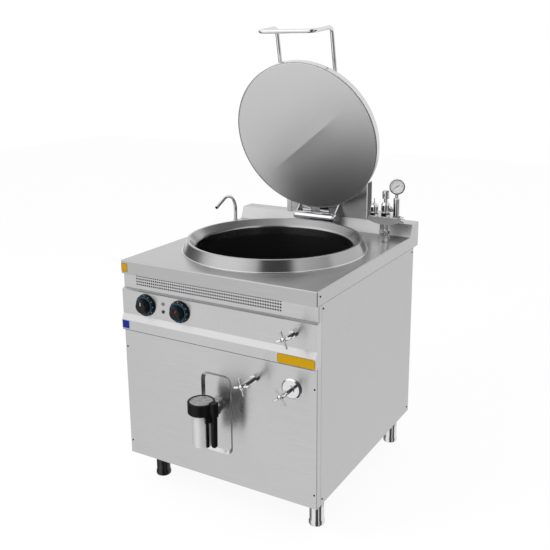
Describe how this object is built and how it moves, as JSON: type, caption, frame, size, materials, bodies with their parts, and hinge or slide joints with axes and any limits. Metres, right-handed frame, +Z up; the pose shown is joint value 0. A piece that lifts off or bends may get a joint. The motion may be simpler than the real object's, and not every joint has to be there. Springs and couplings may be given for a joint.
{
  "type": "steam jacketed kettle",
  "caption": "Free-standing jacketed boiling kettle: steel cabinet with a deep round vessel, balanced hinged lid, drain tap, valves, knobs and a safety group.",
  "frame": {"origin": "on the floor, in the middle of the kettle's own box", "axes": "+X to the operator's right, +Y to the back, +Z up; the tap and knobs face -Y"},
  "size_m": [0.8036, 1.031, 1.7221],
  "materials": {
    "cabinet_steel": "fine brushed",
    "vessel_steel": "satin",
    "bright_metal": "polished",
    "foot_steel": "satin",
    "spring_steel": "oiled",
    "black_plastic": "satin",
    "lagging": "soft mineral wool",
    "lamp_plastic": "gloss",
    "gauge_white": "matt",
    "gauge_black": "matt",
    "gauge_glass": "clear"
  },
  "bodies": {
    "cabinet": {"base_frame": "cabinet_steel", "side_panels": "cabinet_steel", "corner_posts": "cabinet_steel", "back_panel": "cabinet_steel", "bottom_panel": "cabinet_steel", "front_panel": "cabinet_steel", "control_panel": "cabinet_steel", "vent_grille": "cabinet_steel", "worktop": "cabinet_steel", "rear_upstand": "cabinet_steel", "kettle_collar": "cabinet_steel", "rear_housing": "cabinet_steel", "safety_bracket": "cabinet_steel", "hinge_brackets": "cabinet_steel", "panel_screws": "cabinet_steel", "inner_vessel": "vessel_steel", "jacket_shell": "vessel_steel", "heating_elements": "vessel_steel", "drain_pipe": "vessel_steel", "tap_body": "vessel_steel", "tap_spout": "vessel_steel", "water_pipes": "vessel_steel", "inlet_union": "vessel_steel", "valve_bodies": "bright_metal", "hinge_shaft": "bright_metal", "spout_socket": "bright_metal", "riser_pipes": "bright_metal", "safety_valve_body": "bright_metal", "vacuum_breaker_body": "bright_metal", "gauge_stem": "bright_metal", "gauge_case": "bright_metal", "counterbalance_spring": "spring_steel", "control_bodies": "black_plastic", "electrical_box": "black_plastic", "cable_gland": "black_plastic", "insulation_blanket": "lagging", "indicator_lamps": "lamp_plastic", "gauge_dial": "gauge_white", "gauge_glass": "gauge_glass"},
    "lid": {"lid_cover": "cabinet_steel", "lid_inner": "cabinet_steel", "lid_handle": "bright_metal", "lid_hinge_arms": "bright_metal"},
    "thermostat_dial": {"thermostat_knob": "black_plastic"},
    "selector_dial": {"selector_knob": "black_plastic"},
    "fill_handle": {"fill_cross_handle": "bright_metal"},
    "level_handle": {"level_cross_handle": "bright_metal"},
    "jacket_handle": {"jacket_cross_handle": "bright_metal"},
    "tap_handle": {"tap_plug": "bright_metal", "tap_collar": "black_plastic", "tap_lever": "black_plastic"},
    "catch_bar": {"tap_catch": "black_plastic"},
    "filler_spout": {"swivel_spout": "bright_metal"},
    "needle": {"gauge_needle": "gauge_black"},
    "safety_cap": {"safety_valve_cap": "bright_metal"},
    "breaker_pin": {"vacuum_breaker_pin": "bright_metal"},
    "front_left_leg": {"foot_front_left": "foot_steel"},
    "rear_left_leg": {"foot_rear_left": "foot_steel"},
    "front_right_leg": {"foot_front_right": "foot_steel"},
    "rear_right_leg": {"foot_rear_right": "foot_steel"}
  },
  "joints": [
    {"name": "lid_hinge", "type": "hinge", "parent": "cabinet", "child": "lid", "pos_m": [0, 0.399, 0.95], "axis": [1, 0, 0], "range_deg": [0, 74], "stiffness_Nm_per_rad": 21, "springref_deg": -28.65},
    {"name": "thermostat_turn", "type": "hinge", "parent": "cabinet", "child": "thermostat_dial", "pos_m": [-0.292, -0.4045, 0.745], "axis": [0, 1, 0], "range_deg": [0, 300]},
    {"name": "selector_turn", "type": "hinge", "parent": "cabinet", "child": "selector_dial", "pos_m": [-0.141, -0.4045, 0.745], "axis": [0, 1, 0], "range_deg": [0, 270]},
    {"name": "fill_valve_turn", "type": "hinge", "parent": "cabinet", "child": "fill_handle", "pos_m": [0.315, -0.4515, 0.749], "axis": [0, -1, 0], "range_deg": [0, 720]},
    {"name": "level_valve_turn", "type": "hinge", "parent": "cabinet", "child": "level_handle", "pos_m": [0.165, -0.4685, 0.5615], "axis": [0, -1, 0], "range_deg": [0, 720]},
    {"name": "jacket_valve_turn", "type": "hinge", "parent": "cabinet", "child": "jacket_handle", "pos_m": [0.306, -0.4585, 0.554], "axis": [0, -1, 0], "range_deg": [0, 720]},
    {"name": "tap_turn", "type": "hinge", "parent": "cabinet", "child": "tap_handle", "pos_m": [0, -0.4675, 0.46], "axis": [0, 0, -1], "range_deg": [0, 90]},
    {"name": "catch_swing", "type": "hinge", "parent": "tap_handle", "child": "catch_bar", "pos_m": [0.03519, -0.48543, 0.419], "axis": [0.891, -0.454, 0], "range_deg": [0, 8]},
    {"name": "spout_swivel", "type": "hinge", "parent": "cabinet", "child": "filler_spout", "pos_m": [-0.345, 0.2955, 0.92], "axis": [0, 0, 1], "range_deg": [-100, 60]},
    {"name": "needle_swing", "type": "hinge", "parent": "cabinet", "child": "needle", "pos_m": [0.361, 0.3655, 1.113], "axis": [-0.4226, 0.9063, 0], "range_deg": [0, 270]},
    {"name": "safety_cap_lift", "type": "slide", "parent": "cabinet", "child": "safety_cap", "axis": [0, 0, 1], "range_m": [0, 0.005], "stiffness_N_per_m": 400, "springref_m": -0.005},
    {"name": "breaker_pin_press", "type": "slide", "parent": "cabinet", "child": "breaker_pin", "axis": [0, 0, -1], "range_m": [0, 0.004], "stiffness_N_per_m": 150, "springref_m": -0.004},
    {"name": "front_left_leg_screw", "type": "slide", "parent": "cabinet", "child": "front_left_leg", "axis": [0, 0, -1], "range_m": [0, 0.025]},
    {"name": "rear_left_leg_screw", "type": "slide", "parent": "cabinet", "child": "rear_left_leg", "axis": [0, 0, -1], "range_m": [0, 0.025]},
    {"name": "front_right_leg_screw", "type": "slide", "parent": "cabinet", "child": "front_right_leg", "axis": [0, 0, -1], "range_m": [0, 0.025]},
    {"name": "rear_right_leg_screw", "type": "slide", "parent": "cabinet", "child": "rear_right_leg", "axis": [0, 0, -1], "range_m": [0, 0.025]}
  ]
}
